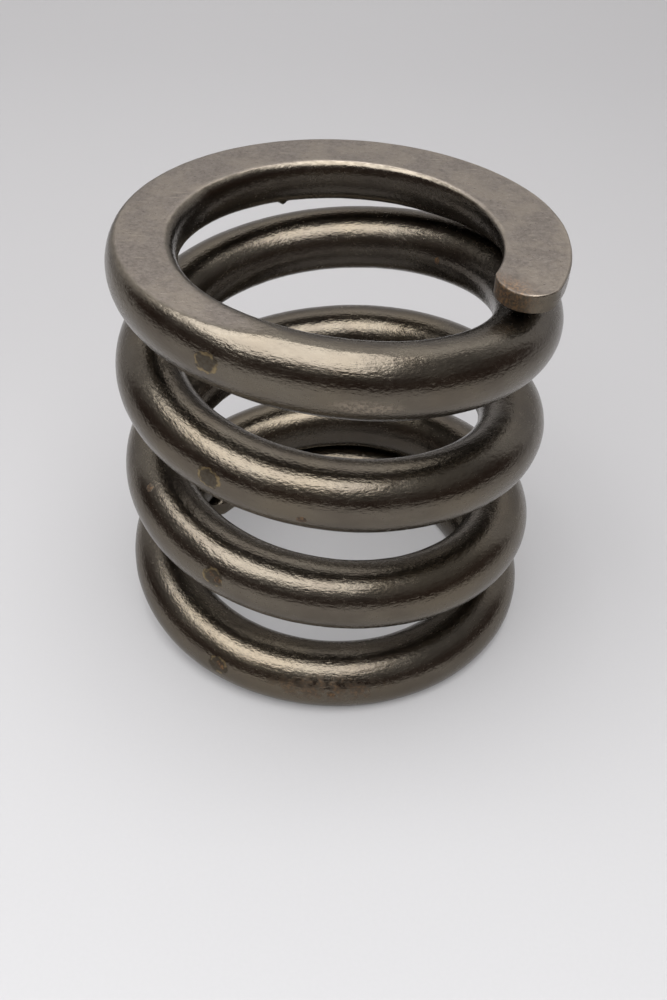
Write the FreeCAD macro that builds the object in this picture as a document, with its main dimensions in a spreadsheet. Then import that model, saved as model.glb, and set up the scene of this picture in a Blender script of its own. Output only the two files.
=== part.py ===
"""A heavy compression spring: one round steel bar wound left-handed, with closed and ground ends, forged tips.

The bar is modelled as the regions it works as: a dead coil at each end, and the active bar between them as equal
arcs. The regions meet in radial planes, where the bar runs straight through from one to the next.
"""

import FreeCAD
import Part
import math
import os
import Sketcher

# Sizes in mm. depth_* is how far inside the ground face the round bar's centre runs, by turns from the bar's tip.
# Before its first eighth of a turn the bar is forged down to a tongue: tongue_* are the width, thickness and far
# corner rounding of that tongue at the tip and at each third of the way to the round bar.
SIZES = {
    "bar_diameter": 22.7,
    "mean_coil_radius": 62.4,
    "free_length": 146.0,
    "depth_eighth_turn": 1.85,
    "depth_quarter_turn": 5.45,
    "depth_half_turn": 6.5,
    "depth_three_quarter_turn": 9.9,
    "depth_one_turn": 20.35,
    "depth_dead_end": 30.55,
    "tongue_width_0": 20.4,
    "tongue_width_1": 20.4,
    "tongue_width_2": 21.2,
    "tongue_width_3": 22.5,
    "tongue_thickness_0": 5.95,
    "tongue_thickness_1": 8.4,
    "tongue_thickness_2": 10.8,
    "tongue_thickness_3": 13.2,
    "tongue_corner_0": 1.5,
    "tongue_corner_1": 4.0,
    "tongue_corner_2": 7.5,
    "tongue_corner_3": 11.1,
    "nose_radius": 10.2,
    "nose_inset": 0.8,
    "nose_rounding_depth": 8.6,
}

TOTAL_TURNS = 4.512
DEAD_TURNS = 1.25
TONGUE_TURNS = 0.125
TONGUE_STEPS = 3
ARC_COUNT = 20
ARC_TURNS = (TOTAL_TURNS - 2 * DEAD_TURNS) / ARC_COUNT
LOWER_TIP_AZIMUTH = 152.2
UPPER_TIP_AZIMUTH = LOWER_TIP_AZIMUTH - 360.0 * TOTAL_TURNS

# Turns from the tip at which an end coil's rise changes, and the cell that holds the bar's depth there.
END_COIL_KNOTS = [
    (TONGUE_TURNS, "depth_eighth_turn"),
    (0.25, "depth_quarter_turn"),
    (0.5, "depth_half_turn"),
    (0.75, "depth_three_quarter_turn"),
    (1.0, "depth_one_turn"),
    (DEAD_TURNS, "depth_dead_end"),
]

ORIGIN = FreeCAD.Vector(0, 0, 0)
UP = FreeCAD.Vector(0, 0, 1)


def add_sheet(doc):
    sheet = doc.addObject("Spreadsheet::Sheet", "Sizes")
    for row, (alias, value) in enumerate(SIZES.items(), start=1):
        sheet.set(f"A{row}", alias)
        sheet.set(f"B{row}", str(value))
        sheet.setAlias(f"B{row}", alias)
    doc.recompute()


def add_body(doc, label):
    body = doc.addObject("PartDesign::Body", label)
    body.Label = label
    return body


def origin_feature(body, role):
    return next(feature for feature in body.Origin.OriginFeatures if feature.Role == role)


def add_sketch(body, name, plane):
    sketch = body.newObject("Sketcher::SketchObject", name)
    sketch.AttachmentSupport = [(origin_feature(body, plane), "")]
    sketch.MapMode = "FlatFace"
    return sketch


def constrain(sketch, kind, *arguments):
    return sketch.addConstraint(Sketcher.Constraint(kind, *arguments))


def bind(sketch, expression, kind, *arguments):
    """Adds one constraint to a sketch and binds its size to the sheet."""
    index = constrain(sketch, kind, *arguments)
    sketch.setExpression(f"Constraints[{index}]", expression)


def add_radial_sketch(body, name, turns):
    """A sketch in the radial plane the given turns along the coil: x is outward from the axis and y is up."""
    sketch = add_sketch(body, name, "XZ_Plane")
    turned = FreeCAD.Rotation(FreeCAD.Vector(0, 1, 0), -360.0 * turns)
    sketch.AttachmentOffset = FreeCAD.Placement(ORIGIN, turned)
    return sketch


def section_sketch(body, turns, height):
    """The bar's round section the given turns along the coil, centred at a bound height."""
    sketch = add_radial_sketch(body, "Section", turns)
    radius = SIZES["mean_coil_radius"]
    diameter = SIZES["bar_diameter"]
    circle = sketch.addGeometry(Part.Circle(FreeCAD.Vector(radius, 1.0, 0), UP, diameter / 2), False)
    bind(sketch, "Sizes.bar_diameter", "Diameter", circle, diameter)
    bind(sketch, "Sizes.mean_coil_radius", "DistanceX", -1, 1, circle, 3, radius)
    bind(sketch, height, "DistanceY", -1, 1, circle, 3, 1.0)
    return sketch


def wind(body, turns_from, turns_to, height_from, height_to):
    """Winds the bar left-handed up the coil, from one radial plane to another."""
    helix = body.newObject("PartDesign::AdditiveHelix", "Winding")
    helix.Profile = section_sketch(body, turns_from, height_from)
    helix.ReferenceAxis = (origin_feature(body, "Z_Axis"), [""])
    helix.Mode = "height-turns-angle"
    helix.LeftHanded = True
    helix.Turns = turns_to - turns_from
    helix.setExpression("Height", f"({height_to}) - ({height_from})")
    body.Document.recompute()


def grind(body):
    """Cuts away everything below the ground face, which is the body's own XY plane."""
    radius = SIZES["mean_coil_radius"] + SIZES["bar_diameter"]
    sketch = add_sketch(body, "GroundOutline", "XY_Plane")
    circle = sketch.addGeometry(Part.Circle(ORIGIN, UP, radius), False)
    constrain(sketch, "Coincident", circle, 3, -1, 1)
    bind(sketch, "Sizes.mean_coil_radius + Sizes.bar_diameter", "Radius", circle, radius)
    cut = body.newObject("PartDesign::Pocket", "Grinding")
    cut.Profile = sketch
    cut.setExpression("Length", "Sizes.bar_diameter")


def tongue_section(body, step):
    """The tongue's section at one of its steps: a rectangle on the ground face with its two far corners rounded."""
    sketch = add_radial_sketch(body, "TongueSection", TONGUE_TURNS * step / TONGUE_STEPS)
    half_width = SIZES[f"tongue_width_{step}"] / 2
    thickness = SIZES[f"tongue_thickness_{step}"]
    corner = SIZES[f"tongue_corner_{step}"]
    middle = SIZES["mean_coil_radius"]
    inner, outer = middle - half_width, middle + half_width
    shoulder = thickness - corner

    def line(x_from, y_from, x_to, y_to):
        ends = FreeCAD.Vector(x_from, y_from, 0), FreeCAD.Vector(x_to, y_to, 0)
        return sketch.addGeometry(Part.LineSegment(*ends), False)

    def arc(x_centre, angle_from, angle_to):
        circle = Part.Circle(FreeCAD.Vector(x_centre, shoulder, 0), UP, corner)
        return sketch.addGeometry(Part.ArcOfCircle(circle, angle_from, angle_to), False)

    loop = [
        line(inner, 0, outer, 0),
        line(outer, 0, outer, shoulder),
        arc(outer - corner, 0, math.pi / 2),
        line(outer - corner, thickness, inner + corner, thickness),
        arc(inner + corner, math.pi / 2, math.pi),
        line(inner, shoulder, inner, 0),
    ]
    base, outer_side, outer_arc, far_side, inner_arc, inner_side = loop
    for edge, following in zip(loop, loop[1:] + loop[:1]):
        constrain(sketch, "Coincident", edge, 2, following, 1)
    constrain(sketch, "Horizontal", base)
    constrain(sketch, "Vertical", outer_side)
    constrain(sketch, "Vertical", inner_side)
    constrain(sketch, "Horizontal", far_side)
    constrain(sketch, "Horizontal", outer_arc, 1, outer_arc, 3)
    constrain(sketch, "Vertical", outer_arc, 2, outer_arc, 3)
    constrain(sketch, "Vertical", inner_arc, 1, inner_arc, 3)
    constrain(sketch, "Horizontal", inner_arc, 2, inner_arc, 3)
    constrain(sketch, "PointOnObject", base, 1, -1)
    bound_width = f"Sizes.tongue_width_{step}"
    bind(sketch, f"Sizes.tongue_corner_{step}", "Radius", outer_arc, corner)
    bind(sketch, bound_width, "DistanceX", base, 1, base, 2, 2 * half_width)
    bind(sketch, f"Sizes.mean_coil_radius - {bound_width} / 2", "DistanceX", -1, 1, base, 1, inner)
    bind(sketch, f"Sizes.tongue_thickness_{step}", "DistanceY", base, 1, far_side, 1, thickness)
    return sketch


def forge_tongue(body):
    """Blends the flat tongue at the tip into the round bar."""
    sections = [tongue_section(body, step) for step in range(TONGUE_STEPS + 1)]
    loft = body.newObject("PartDesign::AdditiveLoft", "Tongue")
    loft.Profile = sections[0]
    loft.Sections = sections[1:]
    body.Document.recompute()


def round_nose(body, side):
    """Rounds one half of the tip as seen from the ground face; side is 1 outside the coil and -1 inside.

    The cut is the square at the corner less the quarter circle that stays, with a margin as wide as the radius.
    """
    radius = SIZES["nose_radius"]
    x_centre = SIZES["mean_coil_radius"] - SIZES["nose_inset"]
    x_flank = x_centre + side * radius
    x_margin = x_flank + side * radius
    corners = [(x_flank, -radius), (x_margin, -radius), (x_margin, radius), (x_centre, radius), (x_centre, 0.0)]
    points = [FreeCAD.Vector(x, y, 0) for x, y in corners]

    sketch = add_sketch(body, "NoseOutline", "XY_Plane")
    lines = [sketch.addGeometry(Part.LineSegment(a, b), False) for a, b in zip(points, points[1:])]
    angles = (0.0, math.pi / 2) if side > 0 else (math.pi / 2, math.pi)
    circle = Part.Circle(FreeCAD.Vector(x_centre, -radius, 0), UP, radius)
    arc = sketch.addGeometry(Part.ArcOfCircle(circle, *angles), False)
    flank_end, front_end = (1, 2) if side > 0 else (2, 1)
    near_end, far_end = (1, 2) if side > 0 else (2, 1)

    for line, following in zip(lines, lines[1:]):
        constrain(sketch, "Coincident", line, 2, following, 1)
    constrain(sketch, "Coincident", lines[0], 1, arc, flank_end)
    constrain(sketch, "Coincident", lines[-1], 2, arc, front_end)
    for line, direction in zip(lines, ("Horizontal", "Vertical", "Horizontal", "Vertical")):
        constrain(sketch, direction, line)
    constrain(sketch, "Horizontal", arc, flank_end, arc, 3)
    constrain(sketch, "Vertical", arc, front_end, arc, 3)
    bind(sketch, "Sizes.nose_radius", "Radius", arc, radius)
    bind(sketch, "Sizes.nose_radius", "DistanceY", arc, 3, -1, 1, radius)
    bind(sketch, "Sizes.nose_radius", "DistanceX", lines[0], near_end, lines[0], far_end, radius)
    bind(sketch, "2 * Sizes.nose_radius", "DistanceY", lines[1], 1, lines[1], 2, 2 * radius)
    bind(sketch, "Sizes.mean_coil_radius - Sizes.nose_inset", "DistanceX", -1, 1, arc, 3, x_centre)

    cut = body.newObject("PartDesign::Pocket", "NoseRounding")
    cut.Profile = sketch
    cut.Reversed = True
    cut.setExpression("Length", "Sizes.nose_rounding_depth")


def end_coil(doc, label):
    """A dead coil, wound up from its ground face at z = 0 with its tip at azimuth 0."""
    body = add_body(doc, label)
    forge_tongue(body)
    for (turns_from, cell_from), (turns_to, cell_to) in zip(END_COIL_KNOTS, END_COIL_KNOTS[1:]):
        wind(body, turns_from, turns_to, f"Sizes.{cell_from}", f"Sizes.{cell_to}")
    grind(body)
    round_nose(body, 1)
    round_nose(body, -1)
    doc.recompute()
    return body


def arc_end_height(index):
    """The bound height of the radial plane above the given number of arcs."""
    rise = "(Sizes.free_length - 2 * Sizes.depth_dead_end)"
    return f"Sizes.depth_dead_end + {rise} * {index / ARC_COUNT}"


def active_arc(doc, index):
    body = add_body(doc, f"active_arc_{index + 1:02d}")
    turns_from = DEAD_TURNS + index * ARC_TURNS
    wind(body, turns_from, turns_from + ARC_TURNS, arc_end_height(index), arc_end_height(index + 1))
    return body


def about_axis(azimuth):
    return FreeCAD.Placement(ORIGIN, FreeCAD.Rotation(UP, azimuth))


def check(doc, bodies):
    for item in doc.Objects:
        if "Invalid" in item.State or "Error" in item.State:
            raise RuntimeError(f"{item.Label} did not compute")
    for body in bodies:
        if body.Shape.isNull() or not body.Shape.isValid() or len(body.Shape.Solids) != 1:
            raise RuntimeError(f"{body.Label} is not one valid solid")


doc = FreeCAD.newDocument("coil_spring")
add_sheet(doc)

lower = end_coil(doc, "lower_end_coil")
arcs = [active_arc(doc, index) for index in range(ARC_COUNT)]
for body in [lower, *arcs]:
    body.Placement = about_axis(LOWER_TIP_AZIMUTH)

# The upper dead coil is the lower one turned over, which keeps it left-handed.
upper = end_coil(doc, "upper_end_coil")
turned_over = FreeCAD.Placement(ORIGIN, FreeCAD.Rotation(FreeCAD.Vector(1, 0, 0), 180))
upper.Placement = about_axis(UPPER_TIP_AZIMUTH) * turned_over
upper.setExpression("Placement.Base.z", "Sizes.free_length")

doc.recompute()
bodies = [lower, *arcs, upper]
check(doc, bodies)
os.makedirs("parts", exist_ok=True)
for body in bodies:
    body.Shape.exportStep(f"parts/{body.Label}.step")
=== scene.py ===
"""Looks of the coil spring: the whole bar as one unbroken skin of dark forged steel with ground ends.

The skin is in three pieces: one for each dead coil, and one for the active bar. It is shaped in millimetres
and wound up in metres; the materials, lights and camera are in metres.
Constants in millimetres end in MM, or their comment says so.
"""

import math

import bpy
import numpy as np
from mathutils import Matrix, Vector


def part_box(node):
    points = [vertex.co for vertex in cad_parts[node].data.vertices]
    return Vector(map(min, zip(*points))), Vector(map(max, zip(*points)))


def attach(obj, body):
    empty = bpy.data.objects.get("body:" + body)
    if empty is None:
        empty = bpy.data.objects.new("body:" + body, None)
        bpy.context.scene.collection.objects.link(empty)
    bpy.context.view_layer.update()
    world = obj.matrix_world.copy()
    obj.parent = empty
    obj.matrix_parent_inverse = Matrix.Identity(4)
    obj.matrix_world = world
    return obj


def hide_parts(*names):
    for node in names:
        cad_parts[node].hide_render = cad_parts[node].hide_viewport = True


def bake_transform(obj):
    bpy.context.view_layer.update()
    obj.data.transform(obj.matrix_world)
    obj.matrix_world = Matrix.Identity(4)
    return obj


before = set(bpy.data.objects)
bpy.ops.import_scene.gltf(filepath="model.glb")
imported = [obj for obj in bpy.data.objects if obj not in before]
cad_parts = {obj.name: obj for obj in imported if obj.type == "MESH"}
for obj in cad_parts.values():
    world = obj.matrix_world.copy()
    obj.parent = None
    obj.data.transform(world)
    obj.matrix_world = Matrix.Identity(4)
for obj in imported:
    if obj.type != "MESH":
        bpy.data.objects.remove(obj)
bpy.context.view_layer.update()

# The bar and the coil, as in the CAD model.
BAR_RADIUS_MM = 11.35
COIL_RADIUS_MM = 62.4
TOTAL_TURNS = 4.512
DEAD_TURNS = 1.25
LOWER_TIP_AZIMUTH = 152.2
FREE_LENGTH_MM = 1000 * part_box("upper_end_coil")[1].z
TURN_LENGTH_MM = 2 * math.pi * COIL_RADIUS_MM
BAR_LENGTH_MM = TOTAL_TURNS * TURN_LENGTH_MM

# How far inside the ground face the bar's centre runs, by turns from the tip.
DEPTH_TURNS = [0, 1 / 8, 1 / 4, 1 / 2, 3 / 4, 1, DEAD_TURNS]
DEPTHS_MM = [-5.4, 1.85, 5.45, 6.5, 9.9, 20.35, 30.55]

# The flat tongue that the bar's tip is forged to, and the rounding of its nose seen from the ground face.
TONGUE_TURNS = [0, 1 / 24, 1 / 12, 1 / 8, 1 / 4]
TONGUE_HALF_WIDTHS_MM = [10.2, 10.35, 10.6, 10.9, 11.35]
TONGUE_CORNERS_MM = [1.5, 4.0, 7.5, 10.6, 11.3]
ROUNDING_STARTS = 0.03
NOSE_RADIUS_MM = 10.25
NOSE_LENGTH_MM = 16.0

# Wear: how far the ground faces' rims are rounded on the coil's inner side, on its outer side and at the tip;
# the half width of the change from side to side; the turns over which the tip's wear gives way to theirs; how
# wide the line along the rims is that is rubbed bright and painted with a highlight; and how bright that line
# still is at the tip.
INNER_WEAR_MM = 1.8
OUTER_WEAR_MM = 0.9
TIP_WEAR_MM = 0.8
SIDE_CHANGE_MM = 2.0
TIP_TURNS = (0.01, 0.12)
BRIGHT_EDGE_MM = 1.1
TIP_BRIGHTNESS = 0.3

# Random waves: height, in mm or as a share of the wear, wavelength in mm, how many waves, and their seed. The
# forging's hammered relief fades where the grinding has gone deeper than the blend.
WEAR_UNEVENNESS = (0.08, 12.0, 20, 11)
HAMMERING = (0.014, 7.0, 40, 3)
BROAD_RELIEF = (0.045, 22.0, 30, 5)
FINE_RELIEF = (0.009, 3.0, 60, 8)
GROUND_BLEND_MM = 0.3

# A small drip of scale under the back of the upper dead coil.
NIB_TURNS = 4.1125
NIB_ANGLE = -116
NIB_HEIGHT_MM = 1.5
NIB_RADIUS_MM = 1.2

# The skin's mesh: columns round the bar, and how many lie each side of a ground face's middle; rows along
# each dead coil and along the active bar; extra rows by the tip, and how the rings of its end face shrink.
COLUMNS = 96
FACE_COLUMNS = 20
DEAD_ROWS = 550
ACTIVE_ROWS = 885
EXTRA_TIP_ROWS_MM = [0.12, 0.28, 0.5, 0.72]
CAP_SHRINKS = [0.97, 0.93, 0.87, 0.8, 0.65, 0.45, 0.2, 0.01]

# Half the angle that the face's columns take up, seen from the bar's centre: where all columns are evenly
# spread, and at least; and how far the columns crowd towards the face's edges.
UNIFORM_HALF_ANGLE = 2 * math.pi * FACE_COLUMNS / COLUMNS
LEAST_HALF_ANGLE = math.radians(12)
CROWDING = 0.7

# Turns from the tip over which the face's columns spread evenly again and stop crowding, and over which the
# shading of its vanishing edges softens in and out; and how often neighbouring normals are averaged there.
SPREADING_TURNS = (0.8, 1.1)
CROWDING_ENDS_TURNS = (0.7, 1.1)
SOFT_FROM_TURNS = (0.25, 0.75)
SOFT_TO_TURNS = (1.3, 1.1)
SOFTENING_PASSES = 60


def smooth_step(low, high, value):
    """Rises smoothly from 0 at low to 1 at high, or falls where low is the greater."""
    x = np.clip((value - low) / (high - low), 0, 1)
    return x * x * (3 - 2 * x)


def monotone_curve(knots, heights, at):
    """A smooth curve through the knots that never overshoots them (Fritsch and Carlson's cubic)."""
    knots = np.array(knots, float)
    heights = np.array(heights, float)
    steps = np.diff(knots)
    secants = np.diff(heights) / steps
    before, after = 2 * steps[1:] + steps[:-1], steps[1:] + 2 * steps[:-1]
    inner = (before + after) / (before / secants[:-1] + after / secants[1:])
    slopes = np.concatenate([[secants[0]], inner, [secants[-1]]])
    span = np.clip(np.searchsorted(knots, at) - 1, 0, len(steps) - 1)
    x = (at - knots[span]) / steps[span]
    rise = steps[span]
    return (
        heights[span] * (1 + 2 * x) * (1 - x) ** 2
        + heights[span + 1] * x * x * (3 - 2 * x)
        + rise * slopes[span] * x * (1 - x) ** 2
        + rise * slopes[span + 1] * x * x * (x - 1)
    )


def centre_height(turns):
    """Height of the bar's centre, by turns from the lower tip; the upper end is the lower one turned over."""
    knots = DEPTH_TURNS + [TOTAL_TURNS - turn for turn in reversed(DEPTH_TURNS)]
    heights = DEPTHS_MM + [FREE_LENGTH_MM - depth for depth in reversed(DEPTHS_MM)]
    return monotone_curve(knots, heights, turns)


def own_end(turns):
    """Which rows are nearer the upper end, and how far inside their own end's ground face the centre runs."""
    upper = turns > TOTAL_TURNS / 2
    height = centre_height(turns)
    return upper, np.where(upper, FREE_LENGTH_MM - height, height)


def waves(points, height, wavelength, count, seed):
    """Smooth random relief of about the given height: many plane waves of about one wavelength."""
    random = np.random.default_rng(seed)
    directions = random.normal(size=(count, 3))
    directions /= np.linalg.norm(directions, axis=1, keepdims=True)
    numbers = 2 * math.pi / (wavelength * random.uniform(0.7, 1.6, count))
    phases = random.uniform(0, 2 * math.pi, count)
    total = np.zeros(points.shape[:-1])
    for direction, number, phase in zip(directions, numbers, phases):
        total += np.cos(points @ (direction * number) + phase)
    return height * total / math.sqrt(count)


def clustered(share, strength):
    """Moves evenly spread shares from 0 to 1 towards both ends."""
    return share - strength * np.sin(2 * math.pi * share) / (2 * math.pi)


def row_turns():
    """Turns from the lower tip for every row of the skin, and the rows where its three pieces meet."""
    near_tip = np.array(EXTRA_TIP_ROWS_MM) / TURN_LENGTH_MM
    dead = np.sort(np.concatenate([np.linspace(0, DEAD_TURNS, DEAD_ROWS + 1), near_tip]))
    active = np.linspace(DEAD_TURNS, TOTAL_TURNS - DEAD_TURNS, ACTIVE_ROWS + 1)
    turns = np.concatenate([dead, active[1:-1], TOTAL_TURNS - dead[::-1]])
    return turns[:, None], len(dead) - 1, len(turns) - len(dead)


def column_shares(crowding):
    """Which columns are on the ground face, their share across it, -1 to 1, and the others' round the bar."""
    column = np.arange(COLUMNS)[None, :]
    signed = np.where(column > COLUMNS / 2, column - COLUMNS, column)
    on_face = np.abs(signed) <= FACE_COLUMNS
    across = 2 * clustered((signed / FACE_COLUMNS + 1) / 2, crowding) - 1
    around = clustered((column - FACE_COLUMNS) / (COLUMNS - 2 * FACE_COLUMNS), crowding)
    return on_face, across, around


def round_section(depth, half_angle, on_face, across, around):
    """The round bar: distance outward and distance in from the ground face, negative where it is cut away."""
    angle = np.where(on_face, across * half_angle, half_angle + (2 * math.pi - 2 * half_angle) * around)
    # Across a wide face the columns follow its chord, because the circle turns back beyond a half turn.
    spread = np.minimum(half_angle, UNIFORM_HALF_ANGLE)
    chord = np.sin(half_angle) * np.sin(across * spread) / np.sin(spread)
    sideways = np.where(on_face, chord, np.sin(angle))
    towards = np.where(on_face, np.sqrt(np.clip(1 - sideways**2, 0, 1)), np.cos(angle))
    return BAR_RADIUS_MM * sideways, depth - BAR_RADIUS_MM * towards


def tongue_section(thickness, half_width, corner, on_face, across, around):
    """The flat tongue: a rectangle on the ground face with its two far corners rounded."""
    side, flat = thickness - corner, half_width - corner
    bend = corner * math.pi / 2
    length = (side + bend + flat) * 2 * np.minimum(around, 1 - around)
    turned = np.clip(length - side, 0, bend) / corner
    past_bend = np.clip(length - side - bend, 0, None)
    outward = flat + corner * np.cos(turned) - past_bend
    away = np.minimum(length, side) + corner * np.sin(turned)
    outward = np.where(around > 0.5, -outward, outward)
    return np.where(on_face, across * half_width, outward), np.where(on_face, 0, away)


def worn(distance, radius):
    """Where a point by a square edge goes as the edge wears round: distance from the edge, and how far in."""
    radius = np.maximum(radius, 1e-6)
    angle = np.clip(1 - distance / radius, 0, 1) * math.pi / 4
    near = distance < radius
    along_face = np.where(near, radius - radius * np.sin(angle), distance)
    return along_face, np.where(near, radius * (1 - np.cos(angle)), 0)


def bar_grid(turns):
    """Every point of the skin, seen from its own end's ground face.

    For each point: its distance along the bar from the tip, outward from the centre line and in from the
    face; its place on the unworn bar; how far past it the grinding goes; and how rubbed bright and painted
    with a highlight it is, from 0 to 1.
    """
    from_tip = np.minimum(turns, TOTAL_TURNS - turns)
    upper, depth = own_end(turns)

    cut_angle = np.arccos(np.clip(depth / BAR_RADIUS_MM, -1, 1))
    widening = (UNIFORM_HALF_ANGLE - LEAST_HALF_ANGLE) * smooth_step(*SPREADING_TURNS, from_tip)
    least = LEAST_HALF_ANGLE + widening
    crowding = CROWDING * (1 - smooth_step(*CROWDING_ENDS_TURNS, from_tip))
    on_face, across, around = column_shares(crowding)
    rounded = round_section(depth, np.maximum(cut_angle, least), on_face, across, around)

    on_tongue = np.minimum(from_tip, TONGUE_TURNS[-1])
    half_width = monotone_curve(TONGUE_TURNS, TONGUE_HALF_WIDTHS_MM, on_tongue)
    corner = monotone_curve(TONGUE_TURNS, TONGUE_CORNERS_MM, on_tongue)
    thickness = depth + BAR_RADIUS_MM
    tongue = tongue_section(thickness, half_width, np.minimum(corner, thickness), on_face, across, around)

    roundness = smooth_step(ROUNDING_STARTS, TONGUE_TURNS[-1], from_tip)
    outward = tongue[0] + (rounded[0] - tongue[0]) * roundness
    past = np.where(on_face, -rounded[1] * roundness + BAR_RADIUS_MM * (1 - roundness), -rounded[1])
    away = np.maximum(tongue[1] + (np.maximum(rounded[1], 0) - tongue[1]) * roundness, 0)
    face_half_width = half_width + (BAR_RADIUS_MM * np.sin(cut_angle) - half_width) * roundness
    middle = thickness / 2 + (depth - thickness / 2) * roundness
    along = from_tip * TURN_LENGTH_MM

    shape = outward.shape
    along, middle, depth = [np.broadcast_to(values, shape) for values in (along, middle, depth)]
    place = np.stack([np.broadcast_to(turns * TURN_LENGTH_MM, shape), outward, away - depth], axis=-1)
    cut_share = np.clip(cut_angle / (math.pi / 2), 0, 1)
    past_tip = smooth_step(*TIP_TURNS, from_tip)

    # The upper end is turned over, so its inner side is on the other hand.
    inward = np.where(upper, outward, -outward)
    innerness = smooth_step(-SIDE_CHANGE_MM, SIDE_CHANGE_MM, inward)
    side_wear = OUTER_WEAR_MM + (INNER_WEAR_MM - OUTER_WEAR_MM) * innerness
    uneven = 1 + waves(place, *WEAR_UNEVENNESS)
    wear = TIP_WEAR_MM + (side_wear * cut_share * uneven - TIP_WEAR_MM) * past_tip

    # The worn rims: where the ground face meets the bar's sides, and where it meets the nose.
    from_side = worn(face_half_width - np.abs(outward), wear)[0]
    ground = on_face & ((past > 0) | (cut_angle >= least))
    rim = np.minimum(face_half_width - np.abs(outward), along)
    worn_outward = np.where(ground, np.sign(outward) * (face_half_width - from_side), outward)
    side_away, side_in = worn(away, wear)
    worn_outward = np.where(on_face, worn_outward, outward - np.sign(outward) * side_in)
    worn_away = np.where(ground, away + worn(rim, wear)[1], np.where(on_face, away, side_away))
    worn_along = np.where(ground, worn(along, wear)[0], along)

    from_edge = np.where(on_face, np.where(ground, rim, BAR_RADIUS_MM), away)
    brightness = TIP_BRIGHTNESS + (1 - TIP_BRIGHTNESS) * past_tip
    # The rims are rubbed bright, and the brightness painted on them also stands in for a highlight.
    rubbed_and_highlight = edge_shine(from_edge) * cut_share * brightness

    # The hammered relief of the forging, which the grinding has taken off.
    relief = waves(place, *HAMMERING) + waves(place, *BROAD_RELIEF)
    relief += waves(place * [0.5, 1, 1], *FINE_RELIEF) + nib(place, upper)
    relief *= 1 - smooth_step(0, GROUND_BLEND_MM, past)
    reach = np.hypot(outward, away - middle) + 1e-6
    worn_outward = worn_outward + relief * outward / reach
    worn_away = np.maximum(worn_away + relief * (away - middle) / reach, 0)

    return worn_along, worn_outward, worn_away, place, past, rubbed_and_highlight


def edge_shine(from_edge):
    """How much a point is rubbed bright and painted with a highlight, by its distance from the ground face's
    edge.
    """
    return np.exp(-((from_edge / BRIGHT_EDGE_MM) ** 2))


def nib(place, upper):
    """The drip's height at each point; the upper end's sections are seen the other way up."""
    side = math.radians(NIB_ANGLE)
    middle = [NIB_TURNS * TURN_LENGTH_MM, -BAR_RADIUS_MM * math.cos(side), -BAR_RADIUS_MM * math.sin(side)]
    near = np.linalg.norm(place - middle, axis=-1)
    return np.where(upper, NIB_HEIGHT_MM * np.exp(-((near / NIB_RADIUS_MM) ** 2)), 0)


def with_tip_faces(grid, wear):
    """Adds the end face of each tip to the grid, as rings that shrink towards the section's middle."""
    shrink = np.array(CAP_SHRINKS)[:, None]
    _, outward, _, place, _, _ = grid

    def rings(row):
        flat = place[row, :, 2] - place[row, :, 2].min()
        middle = flat.max() / 2
        ring_outward = outward[row] * shrink
        ring_away = middle + (flat - middle) * shrink
        new_away, ring_along = worn(ring_away, wear)
        ring_turns = np.broadcast_to(place[row, :, 0], new_away.shape)
        ring_place = np.stack([ring_turns, ring_outward, place[row, :, 2].min() + ring_away], axis=-1)
        not_ground = np.full(new_away.shape, -BAR_RADIUS_MM)
        # The end face's rim, too, is rubbed bright and painted with a faint highlight.
        ring_rubbed_and_highlight = TIP_BRIGHTNESS * edge_shine(ring_away)
        return ring_along, ring_outward, new_away, ring_place, not_ground, ring_rubbed_and_highlight

    columns = zip(grid, rings(0), rings(-1))
    return [np.concatenate([first[::-1], whole, last]) for whole, first, last in columns]


def row_frame(turns, outward, away, place, past, rubbed_and_highlight):
    """Turns each row from its own ground face's view to the coil's: outward and up from the centre line."""
    upper, depth = own_end(turns)
    flip = np.where(upper, -1.0, 1.0)

    def turned(values):
        return np.where(upper, np.roll(values, COLUMNS // 2, axis=1), values)

    up = (turned(away) - depth) * flip
    along, sideways, height = [turned(place[..., axis]) for axis in range(3)]
    place = np.stack([along, sideways * flip, height * flip], axis=-1)
    return turned(outward) * flip, up, place, turned(past), turned(rubbed_and_highlight)


def nose_setback(outward):
    """How far short of the bar's end the round nose stops, by the distance outward from the centre line."""
    return NOSE_RADIUS_MM - np.sqrt(np.clip(NOSE_RADIUS_MM**2 - outward**2, 0, None))


def coil_point(along, outward, height):
    """Winds a point of the straightened bar left-handed round the coil's axis; metres out."""
    azimuth = math.radians(LOWER_TIP_AZIMUTH) - along / COIL_RADIUS_MM
    radius = COIL_RADIUS_MM + outward
    return np.stack([radius * np.cos(azimuth), radius * np.sin(azimuth), height], axis=-1) / 1000


def wound(turns, along, outward, up):
    """Winds the skin up the coil, drawing the last rows back to the nose's outline."""
    shaped = along + nose_setback(outward) * (1 - np.clip(along / NOSE_LENGTH_MM, 0, 1))
    shaped = np.where(turns > TOTAL_TURNS / 2, BAR_LENGTH_MM - shaped, shaped)
    return coil_point(shaped, outward, centre_height(turns) + up)


def grid_normals(points, turns):
    """The skin's normals, softened where the ground face fades out into the round bar."""
    round_bar = np.roll(points, -1, axis=1) - np.roll(points, 1, axis=1)
    down_bar = np.gradient(points, axis=0)
    normals = np.cross(round_bar, down_bar)
    from_tip = np.minimum(turns, TOTAL_TURNS - turns)[..., None]
    softness = smooth_step(*SOFT_FROM_TURNS, from_tip) * smooth_step(*SOFT_TO_TURNS, from_tip)
    for _ in range(SOFTENING_PASSES):
        normals /= np.linalg.norm(normals, axis=-1, keepdims=True)
        neighbours = (np.roll(normals, 1, axis=1) + np.roll(normals, -1, axis=1)) / 2
        normals += 0.5 * softness * (neighbours - normals)
    return normals / np.linalg.norm(normals, axis=-1, keepdims=True)


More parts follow.
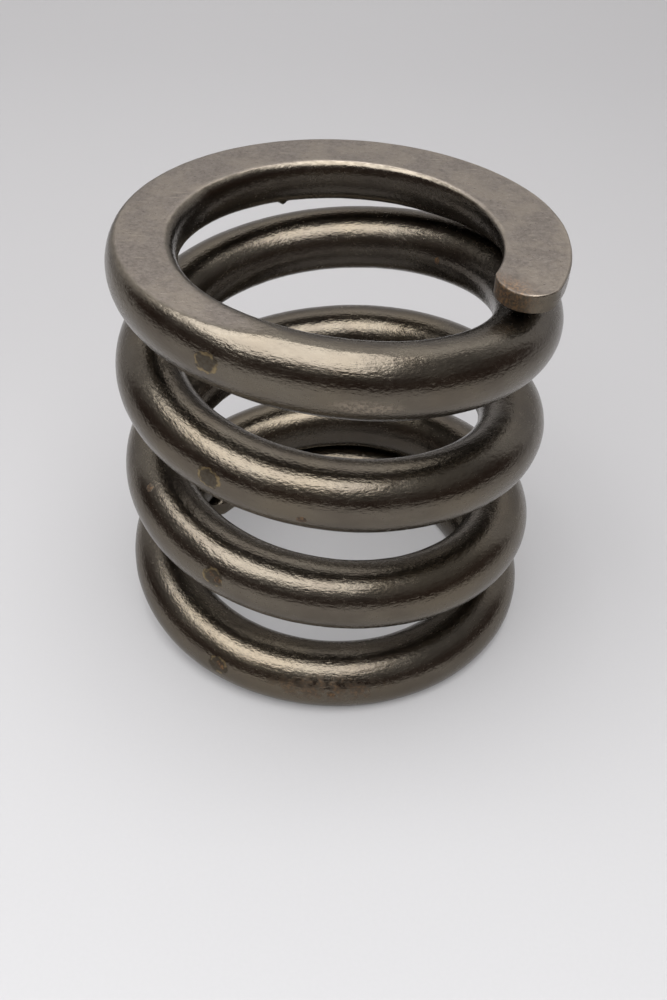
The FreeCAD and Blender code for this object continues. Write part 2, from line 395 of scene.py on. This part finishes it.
def grid_faces(rows):
    """Quads over the grid's rows and columns, wound so that they face out of the bar."""
    row = np.arange(rows - 1)[:, None]
    column = np.arange(COLUMNS)[None, :]
    after = (column + 1) % COLUMNS
    next_row = row + 1
    around_quad = [(row, column), (row, after), (next_row, after), (next_row, column)]
    corners = [at_row * COLUMNS + at_column for at_row, at_column in around_quad]
    return np.stack(np.broadcast_arrays(*corners), axis=-1).reshape(-1, 4)


def skin(name, rows, closed_at=()):
    """A piece of the bar's skin from a slice of the grid's rows; closed_at says which end is a tip face."""
    piece_points = points[rows]
    count = len(piece_points)
    faces = grid_faces(count).tolist()
    loop = list(range(COLUMNS))
    if "first" in closed_at:
        faces.append(loop[::-1])
    if "last" in closed_at:
        faces.append([(count - 1) * COLUMNS + index for index in loop])
    mesh = bpy.data.meshes.new(name)
    mesh.from_pydata(piece_points.reshape(-1, 3).tolist(), [], faces)
    mesh.shade_smooth()
    mesh.normals_split_custom_set_from_vertices(normals[rows].reshape(-1, 3).tolist())
    place = mesh.attributes.new("bar_place", "FLOAT_VECTOR", "POINT")
    place.data.foreach_set("vector", (straight[rows].reshape(-1) / 1000).astype(np.float32))
    for attribute_name, values in (("ground_away_mm", ground_away), ("rubbed_and_highlight", rubbed_and_highlight)):
        attribute = mesh.attributes.new(attribute_name, "FLOAT", "POINT")
        attribute.data.foreach_set("value", values[rows].reshape(-1).astype(np.float32))
    mesh.materials.append(steel)
    piece = bpy.data.objects.new(name, mesh)
    bpy.context.scene.collection.objects.link(piece)
    return piece


# ---------------------------------------------------------------- materials

# Steel colours: the forging scale, and its painted shade inside the coil; the ground faces; their rubbed
# rims, whose brighter colour is partly a painted highlight; and the marks.
SCALE_DARK = (0.122, 0.104, 0.083, 1)
SCALE_LIGHT = (0.154, 0.134, 0.107, 1)
SCALE_WARM = (0.160, 0.134, 0.099, 1)
SCALE_PIT = (0.06, 0.05, 0.042, 1)
SCALE_INSIDE_SHADE = (0.070, 0.060, 0.052, 1)
GROUND_DARK = (0.205, 0.176, 0.152, 1)
GROUND_LIGHT = (0.315, 0.276, 0.242, 1)
GROUND_CLOUD = (0.36, 0.310, 0.255, 1)
GROUND_SCRATCH = (0.45, 0.39, 0.32, 1)
GROUND_MARK = (0.17, 0.145, 0.126, 1)
RUBBED_EDGE_HIGHLIGHT = (0.36, 0.315, 0.255, 1)
STAIN_LIGHT = (0.060, 0.051, 0.036, 1)
STAIN_DARK = (0.040, 0.029, 0.018, 1)
STAIN_RIM = (0.27, 0.205, 0.110, 1)
SCUFF = (0.30, 0.25, 0.19, 1)
RUST_DARK = (0.045, 0.028, 0.016, 1)
RUST_LIGHT = (0.20, 0.105, 0.040, 1)

# Marks, as turns from the lower tip and degrees up from the bar's outer side: four stains above one another,
# small spots of rust, and a scuffed and a rusty stretch at the front. The rust on the upper tip's end face is
# placed in mm along, outward and up from the bar's centre line.
STAINS = [(3.7525, 9), (2.7545, 9.5), (1.7555, 13.5), (0.7545, 11)]
STAIN_RADIUS = 0.0037
RUST_SPOTS = [(3.292, 176), (1.845, 56), (1.757, 17), (1.751, 12), (0.752, 13), (0.664, 8), (2.690, -14)]
RUST_SPOT_RADIUS = 0.0015
SCUFFED_STRETCH = (3.652, -9)
SCUFFED_STRETCH_LENGTH = 0.011
RUSTY_STRETCH = (0.668, 18)
RUSTY_STRETCH_LENGTH = 0.022
TIP_RUST_MM = (BAR_LENGTH_MM, -4.0, -8.5)
TIP_RUST_RADIUS = 0.013

# Random patterns of the steel and the paper: scale, detail and roughness of the noise.
GRAIN = (1250, 2, 0.6)
PITTING = (620, 4, 0.6)
MOTTLING = (130, 4, 0.6)
STAINING = (30, 3, 0.5)
GRINDING = (1500, 3, 0.65)
SCRATCHES = (700, 2, 0.5)
FACE_MOTTLING = (600, 5, 0.75)
FACE_CLOUDS = (80, 4, 0.65)
BLOTCHES = (1100, 3, 0.6)
BREAKS = (330, 2, 0.5)
UNEVEN_OUTLINES = (420, 3, 0.6)
FIBRES = (700, 3, 0.6)

# How far the marks' outlines stray, the depths of the bumps, and how rough and how metallic the marks are.
MARK_WOBBLE = 0.0030
GRAIN_DEPTH = 0.00014
PIT_DEPTH = 0.00004
MARK_DEPTH = 0.0002
RUBBED_ROUGHNESS = 0.16
MARK_ROUGHNESS = 0.3
LEAST_METAL = 0.45

# The floor's paper in front and behind, painted darker behind as painted shade, and the wall's; the depths
# and heights over which one turns into the next; and how far from the spring all of it fades into the
# horizon's colour.
PAPER_FRONT = (0.400, 0.398, 0.405, 1)
PAPER_BEHIND_SHADED = (0.300, 0.295, 0.300, 1)
PAPER_WALL = (0.60, 0.59, 0.58, 1)
PAPER_FIBRE = (0.30, 0.30, 0.30, 1)
PAPER_GLOW = 0.5
BEHIND_DEPTHS = (-0.35, 0.2)
WALL_HEIGHTS = (0.50, 0.85)
HORIZON_DISTANCES = (1.25, 2.2)
HORIZON = (0.62, 0.62, 0.64, 1)

# The room that the steel mirrors: low down, overhead, and the upward part of the direction in between.
ROOM_LOW = (0.080, 0.052, 0.043, 1)
ROOM_HIGH = (0.27, 0.27, 0.275, 1)
ROOM_BRIGHTENS = (0.25, 0.7)


class Nodes:
    """Builds a node tree: node() adds a node and sets or links its inputs; the others return its output."""

    def __init__(self, tree):
        self.tree = tree
        tree.nodes.clear()

    def node(self, kind, inputs=None, **settings):
        made = self.tree.nodes.new(kind)
        for name, value in settings.items():
            setattr(made, name, value)
        for key, value in (inputs or {}).items():
            if isinstance(value, bpy.types.NodeSocket):
                self.tree.links.new(value, made.inputs[key])
            else:
                made.inputs[key].default_value = value
        return made

    def math(self, operation, first, second=0.0, clamp=False):
        made = self.node("ShaderNodeMath", {0: first, 1: second}, operation=operation, use_clamp=clamp)
        return made.outputs[0]

    def vector(self, operation, first, second):
        return self.node("ShaderNodeVectorMath", {0: first, 1: second}, operation=operation).outputs[0]

    def distance(self, first, second):
        made = self.node("ShaderNodeVectorMath", {0: first, 1: second}, operation="DISTANCE")
        return made.outputs["Value"]

    def noise(self, place, scale, detail, roughness):
        inputs = {"Vector": place, "Scale": scale, "Detail": detail, "Roughness": roughness}
        return self.node("ShaderNodeTexNoise", inputs).outputs["Fac"]

    def ramp(self, value, low, high, to_low=0.0, to_high=1.0):
        inputs = {"Value": value, "From Min": low, "From Max": high, "To Min": to_low, "To Max": to_high}
        made = self.node("ShaderNodeMapRange", inputs, interpolation_type="SMOOTHSTEP")
        return made.outputs[0]

    def mix(self, factor, first, second):
        """Mixes two colours; its sockets go by identifier, because the node has several of each name."""
        made = self.node("ShaderNodeMix", data_type="RGBA")
        sockets = {socket.identifier: socket for socket in made.inputs}
        for key, value in (("Factor_Float", factor), ("A_Color", first), ("B_Color", second)):
            if isinstance(value, bpy.types.NodeSocket):
                self.tree.links.new(value, sockets[key])
            else:
                sockets[key].default_value = value
        return next(socket for socket in made.outputs if socket.identifier == "Result_Color")

    def bump(self, height, depth, strength=1.0, under=None):
        inputs = {"Height": height, "Distance": depth, "Strength": strength}
        if under is not None:
            inputs["Normal"] = under
        return self.node("ShaderNodeBump", inputs).outputs[0]


def bar_point(turns, angle):
    """A point on the straightened bar's surface, in metres."""
    side = math.radians(angle)
    outward, up = BAR_RADIUS_MM * math.cos(side), BAR_RADIUS_MM * math.sin(side)
    return Vector((turns * TURN_LENGTH_MM, outward, up)) / 1000


def forging_scale(nodes, place, drawn_out, pitting, grain):
    """The colour and roughness of the dark scale: mottled, pitted, and painted darker inside the coil as
    painted shade.
    """
    mottling = nodes.noise(drawn_out, *MOTTLING)
    staining = nodes.noise(place, *STAINING)
    mottled = nodes.mix(nodes.ramp(mottling, 0.35, 0.68), SCALE_DARK, SCALE_LIGHT)
    warm = nodes.mix(nodes.ramp(staining, 0.42, 0.66, 0.0, 0.7), mottled, SCALE_WARM)
    pitted = nodes.mix(nodes.ramp(pitting, 0.60, 0.76, 0.0, 0.25), warm, SCALE_PIT)
    _, sideways, upward = nodes.node("ShaderNodeSeparateXYZ", {0: place}).outputs
    # Painted shade: the scale is painted darker on the coil's inner side, the more so the lower it faces.
    inside = nodes.math("ADD", nodes.math("MULTIPLY", upward, 0.6), sideways)
    colour = nodes.mix(nodes.ramp(inside, -0.004, -0.010, 0.0, 0.45), pitted, SCALE_INSIDE_SHADE)
    return colour, nodes.ramp(nodes.math("ADD", grain, mottling), 0.7, 1.3, 0.20, 0.28)


def ground_face(nodes):
    """The colour and roughness of the ground end faces: cloudy, scratched, with faint grinding marks."""
    place = nodes.node("ShaderNodeTexCoord").outputs["Object"]
    grinding = nodes.noise(nodes.vector("MULTIPLY", place, (0.3, 1.0, 1.0)), *GRINDING)
    scratches = nodes.noise(nodes.vector("MULTIPLY", place, (0.12, 1.0, 1.0)), *SCRATCHES)
    mottling = nodes.noise(place, *FACE_MOTTLING)
    clouds = nodes.noise(place, *FACE_CLOUDS)
    mottled = nodes.mix(nodes.ramp(mottling, 0.30, 0.70), GROUND_DARK, GROUND_LIGHT)
    clouded = nodes.mix(nodes.ramp(clouds, 0.42, 0.62, 0.0, 0.55), mottled, GROUND_CLOUD)
    scratched = nodes.mix(nodes.ramp(scratches, 0.66, 0.74, 0.0, 0.6), clouded, GROUND_SCRATCH)
    colour = nodes.mix(nodes.ramp(grinding, 0.58, 0.80, 0.0, 0.4), scratched, GROUND_MARK)
    return colour, nodes.ramp(grinding, 0.3, 0.7, 0.26, 0.40)


class Marks:
    """Where stains, rust and scuffs cover the steel, from 0 to 1."""

    def __init__(self, nodes, place):
        self.nodes = nodes
        self.place = place
        self.blotches = nodes.noise(place, *BLOTCHES)
        self.breaks = nodes.noise(place, *BREAKS)
        unevenness = nodes.math("SUBTRACT", nodes.noise(place, *UNEVEN_OUTLINES), 0.5)
        self.wobble = nodes.math("MULTIPLY", unevenness, MARK_WOBBLE)

        self.stains = self.spots(STAINS, STAIN_RADIUS, 0.85)
        stain_middles = self.spots(STAINS, 0.8 * STAIN_RADIUS, 0.75)
        rims = nodes.math("SUBTRACT", self.stains, stain_middles, clamp=True)
        self.stain_rims = nodes.math("MULTIPLY", rims, nodes.ramp(self.breaks, 0.45, 0.56))

        scuffing = nodes.ramp(self.blotches, 0.40, 0.56, 0.15, 1.0)
        self.scuffs = self.stretch(SCUFFED_STRETCH, SCUFFED_STRETCH_LENGTH, scuffing)

        rusting = nodes.ramp(self.breaks, 0.38, 0.64, 0.0, 0.7)
        rusty = self.stretch(RUSTY_STRETCH, RUSTY_STRETCH_LENGTH, rusting)
        tip_far = nodes.math("ADD", nodes.distance(place, Vector(TIP_RUST_MM) / 1000), self.wobble)
        tip_rust = nodes.ramp(tip_far, TIP_RUST_RADIUS, 0.2 * TIP_RUST_RADIUS, 0.0, 0.95)
        tip_rust = nodes.math("MULTIPLY", tip_rust, nodes.ramp(self.breaks, 0.30, 0.50, 0.6, 1.0))
        spots_and_stretch = nodes.math("MAXIMUM", self.spots(RUST_SPOTS, RUST_SPOT_RADIUS, 0.6), rusty)
        self.rust = nodes.math("MAXIMUM", spots_and_stretch, tip_rust)

    def spots(self, middles, radius, core):
        """Round spots with uneven edges, solid out to the core's share of the radius."""
        cover = 0.0
        for middle in middles:
            far = self.nodes.math("ADD", self.nodes.distance(self.place, bar_point(*middle)), self.wobble)
            cover = self.nodes.math("MAXIMUM", self.nodes.ramp(far, radius, core * radius), cover)
        return cover

    def stretch(self, middle, length, speckle):
        """A speckled patch drawn out along the bar."""
        squeeze = Vector((0.3, 1.0, 1.0))
        squeezed = self.nodes.vector("MULTIPLY", self.place, squeeze)
        far = self.nodes.distance(squeezed, bar_point(*middle) * squeeze)
        return self.nodes.math("MULTIPLY", self.nodes.ramp(far, 0.3 * length, 0.1 * length), speckle)


def spring_steel():
    """Dark forging scale on the bar, brighter ground end faces, and a few stains and spots of rust."""
    material = bpy.data.materials.new("spring_steel")
    material.use_nodes = True
    nodes = Nodes(material.node_tree)

    place = nodes.node("ShaderNodeAttribute", attribute_name="bar_place").outputs["Vector"]
    ground_away = nodes.node("ShaderNodeAttribute", attribute_name="ground_away_mm").outputs["Fac"]
    rubbed_and_highlight = nodes.node("ShaderNodeAttribute", attribute_name="rubbed_and_highlight").outputs["Fac"]
    drawn_out = nodes.vector("MULTIPLY", place, (0.5, 1.0, 1.0))
    grain = nodes.noise(drawn_out, *GRAIN)
    pitting = nodes.noise(drawn_out, *PITTING)
    scale_colour, scale_rough = forging_scale(nodes, place, drawn_out, pitting, grain)
    ground_colour, ground_rough = ground_face(nodes)

    ragged = nodes.math("MULTIPLY", nodes.math("SUBTRACT", pitting, 0.5), 0.8)
    on_ground = nodes.ramp(nodes.math("ADD", ground_away, ragged), 0.0, 1.2)
    faces_and_scale = nodes.mix(on_ground, scale_colour, ground_colour)
    # Partly real wear, partly painted highlight: the rims of the ground faces get a brighter colour.
    bright_edge_highlight = nodes.math("MULTIPLY", rubbed_and_highlight, nodes.ramp(pitting, 0.30, 0.62, 0.1, 0.7))
    steel_colour = nodes.mix(bright_edge_highlight, faces_and_scale, RUBBED_EDGE_HIGHLIGHT)
    rougher = nodes.math("MULTIPLY", on_ground, nodes.math("SUBTRACT", ground_rough, scale_rough))
    face_rough = nodes.math("ADD", rougher, scale_rough)
    steel_rough = nodes.math("ADD", nodes.math("MULTIPLY", rubbed_and_highlight, RUBBED_ROUGHNESS), face_rough)

    marks = Marks(nodes, place)
    dull = nodes.mix(nodes.ramp(marks.blotches, 0.42, 0.6), STAIN_LIGHT, STAIN_DARK)
    stained = nodes.mix(nodes.math("MULTIPLY", marks.stains, 0.7), steel_colour, dull)
    rimmed = nodes.mix(nodes.math("MULTIPLY", marks.stain_rims, 0.85), stained, STAIN_RIM)
    scuffed = nodes.mix(nodes.math("MULTIPLY", marks.scuffs, 0.85), rimmed, SCUFF)
    rust_colour = nodes.mix(nodes.ramp(marks.blotches, 0.42, 0.66), RUST_DARK, RUST_LIGHT)
    colour = nodes.mix(nodes.math("MULTIPLY", marks.rust, 0.85), scuffed, rust_colour)

    faint_stains = nodes.math("MULTIPLY", marks.stains, 0.3)
    decay = nodes.math("MAXIMUM", nodes.math("MAXIMUM", faint_stains, marks.rust), marks.scuffs)
    rough = nodes.math("ADD", steel_rough, nodes.math("MULTIPLY", decay, MARK_ROUGHNESS), clamp=True)
    metal = nodes.ramp(decay, 0.1, 1.0, 1.0, LEAST_METAL)

    grain_bump = nodes.bump(grain, GRAIN_DEPTH, 0.9)
    pit_bump = nodes.bump(nodes.ramp(pitting, 0.30, 0.75), PIT_DEPTH, 0.4, grain_bump)
    mark_bump = nodes.bump(nodes.math("MULTIPLY", marks.blotches, decay), MARK_DEPTH, 0.7, pit_bump)
    inputs = {"Base Color": colour, "Roughness": rough, "Metallic": metal, "Normal": mark_bump}
    shader = nodes.node("ShaderNodeBsdfPrincipled", inputs).outputs[0]
    nodes.node("ShaderNodeOutputMaterial", {"Surface": shader})
    return material


def paper():
    """The pale sweep the spring stands on, painted darker behind as painted shade, which glows a little as
    painted light, so that shadows stay soft.
    """
    material = bpy.data.materials.new("paper")
    material.use_nodes = True
    nodes = Nodes(material.node_tree)
    place = nodes.node("ShaderNodeTexCoord").outputs["Object"]
    fibres = nodes.noise(place, *FIBRES)
    _, depth, height = nodes.node("ShaderNodeSeparateXYZ", {0: place}).outputs
    far = nodes.ramp(nodes.distance(place, (0, 0, 0)), *HORIZON_DISTANCES)
    # Painted shade: the floor's colour darkens towards the back.
    floor = nodes.mix(nodes.ramp(depth, *BEHIND_DEPTHS), PAPER_FRONT, PAPER_BEHIND_SHADED)
    sheet = nodes.mix(nodes.ramp(height, *WALL_HEIGHTS), floor, PAPER_WALL)
    colour = nodes.mix(nodes.ramp(fibres, 0.35, 0.65, 0.0, 0.05), sheet, PAPER_FIBRE)
    glow = {"Emission Color": colour, "Emission Strength": PAPER_GLOW}
    matt = {"Base Color": colour, "Roughness": 0.75}
    shader = nodes.node("ShaderNodeBsdfPrincipled", {**matt, **glow}).outputs[0]
    horizon = nodes.node("ShaderNodeEmission", {"Color": HORIZON}).outputs[0]
    surface = nodes.node("ShaderNodeMixShader", {0: far, 1: shader, 2: horizon}).outputs[0]
    nodes.node("ShaderNodeOutputMaterial", {"Surface": surface})
    return material


# ---------------------------------------------------------------- the spring

turns, lower_seam, upper_seam = row_turns()
along, outward, away, straight, ground_away, rubbed_and_highlight = with_tip_faces(bar_grid(turns), TIP_WEAR_MM)
cap_rows = len(CAP_SHRINKS)
turns = np.pad(turns, ((cap_rows, cap_rows), (0, 0)), mode="edge")
outward, up, straight, ground_away, rubbed_and_highlight = row_frame(turns, outward, away, straight, ground_away, rubbed_and_highlight)
along = np.where(turns > TOTAL_TURNS / 2, np.roll(along, COLUMNS // 2, axis=1), along)
points = wound(turns, along, outward, up)
normals = grid_normals(points, turns)
lower_seam += cap_rows
upper_seam += cap_rows
steel = spring_steel()

lower_skin = skin("lower_end_skin", slice(0, lower_seam + 1), ["first"])
active_skin = skin("active_skin", slice(lower_seam, upper_seam + 1))
upper_skin = skin("upper_end_skin", slice(upper_seam, len(points)), ["last"])

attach(lower_skin, "lower_end_coil")
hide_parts("lower_end_coil")
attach(upper_skin, "upper_end_coil")
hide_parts("upper_end_coil")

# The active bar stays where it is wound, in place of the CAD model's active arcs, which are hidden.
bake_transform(active_skin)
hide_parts(*[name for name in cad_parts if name.startswith("active_arc_")])

# ---------------------------------------------------------------- stage, light and camera


def sweep(half_width, front, curve_start, curve_radius, top):
    """A floor that curves up into a backdrop."""
    bend = np.linspace(0, math.pi / 2, 24)
    profile = [(front, 0.0)]
    profile += [(curve_start + curve_radius * math.sin(a), curve_radius * (1 - math.cos(a))) for a in bend]
    profile.append((curve_start + curve_radius, top))
    corners = [(x, y, z) for y, z in profile for x in (-half_width, half_width)]
    faces = [(2 * i, 2 * i + 1, 2 * i + 3, 2 * i + 2) for i in range(len(profile) - 1)]
    mesh = bpy.data.meshes.new("sweep")
    mesh.from_pydata(corners, [], faces)
    mesh.shade_smooth()
    mesh.materials.append(paper())
    floor = bpy.data.objects.new("sweep", mesh)
    bpy.context.scene.collection.objects.link(floor)


def softbox(name, position, target, size, radiance):
    """A rectangular light of the given radiance that faces its target."""
    data = bpy.data.lights.new(name, "AREA")
    data.shape = "RECTANGLE"
    data.size, data.size_y = size
    data.energy = radiance * math.pi * size[0] * size[1]
    light = bpy.data.objects.new(name, data)
    facing = (Vector(target) - Vector(position)).to_track_quat("-Z", "Y").to_matrix().to_4x4()
    light.matrix_world = Matrix.Translation(position) @ facing
    bpy.context.scene.collection.objects.link(light)


def surroundings():
    """A dim room, brighter overhead, that the steel mirrors; seen directly it is plain and pale."""
    world = bpy.data.worlds.new("studio")
    world.use_nodes = True
    bpy.context.scene.world = world
    nodes = Nodes(world.node_tree)
    direction = nodes.node("ShaderNodeTexCoord").outputs["Generated"]
    height = nodes.node("ShaderNodeSeparateXYZ", {0: direction}).outputs[2]
    room = nodes.mix(nodes.ramp(height, *ROOM_BRIGHTENS), ROOM_LOW, ROOM_HIGH)
    seen = nodes.node("ShaderNodeLightPath").outputs["Is Camera Ray"]
    colour = nodes.mix(seen, room, HORIZON)
    background = nodes.node("ShaderNodeBackground", {"Color": colour}).outputs[0]
    nodes.node("ShaderNodeOutputWorld", {"Surface": background})


CAMERA_POSITION = (0.0017, -0.3323, 0.3166)
CAMERA_DIP = math.radians(40.25)
CAMERA_ROLL = 0.0429
CAMERA_LENS = 41.54

sweep(half_width=2.6, front=-2.2, curve_start=0.55, curve_radius=0.6, top=1.7)
softbox(
    "overhead_light",
    position=(-0.22, -0.27, 1.2),
    target=(-0.22, -0.269, 0),
    size=(1.45, 1.35),
    radiance=4.7,
)
softbox("back_light", position=(0.1, 1.0, 1.15), target=(0, 0, 0.1), size=(1.5, 0.7), radiance=0.8)
surroundings()

camera_data = bpy.data.cameras.new("camera")
camera_data.lens = CAMERA_LENS
camera_data.sensor_width = 36
camera_data.clip_start = 0.01
camera = bpy.data.objects.new("camera", camera_data)
facing = Matrix.Rotation(math.pi / 2 - CAMERA_DIP, 4, "X") @ Matrix.Rotation(CAMERA_ROLL, 4, "Z")
camera.matrix_world = Matrix.Translation(CAMERA_POSITION) @ facing
bpy.context.scene.collection.objects.link(camera)
bpy.context.scene.camera = camera
bpy.context.scene.view_settings.view_transform = "Standard"
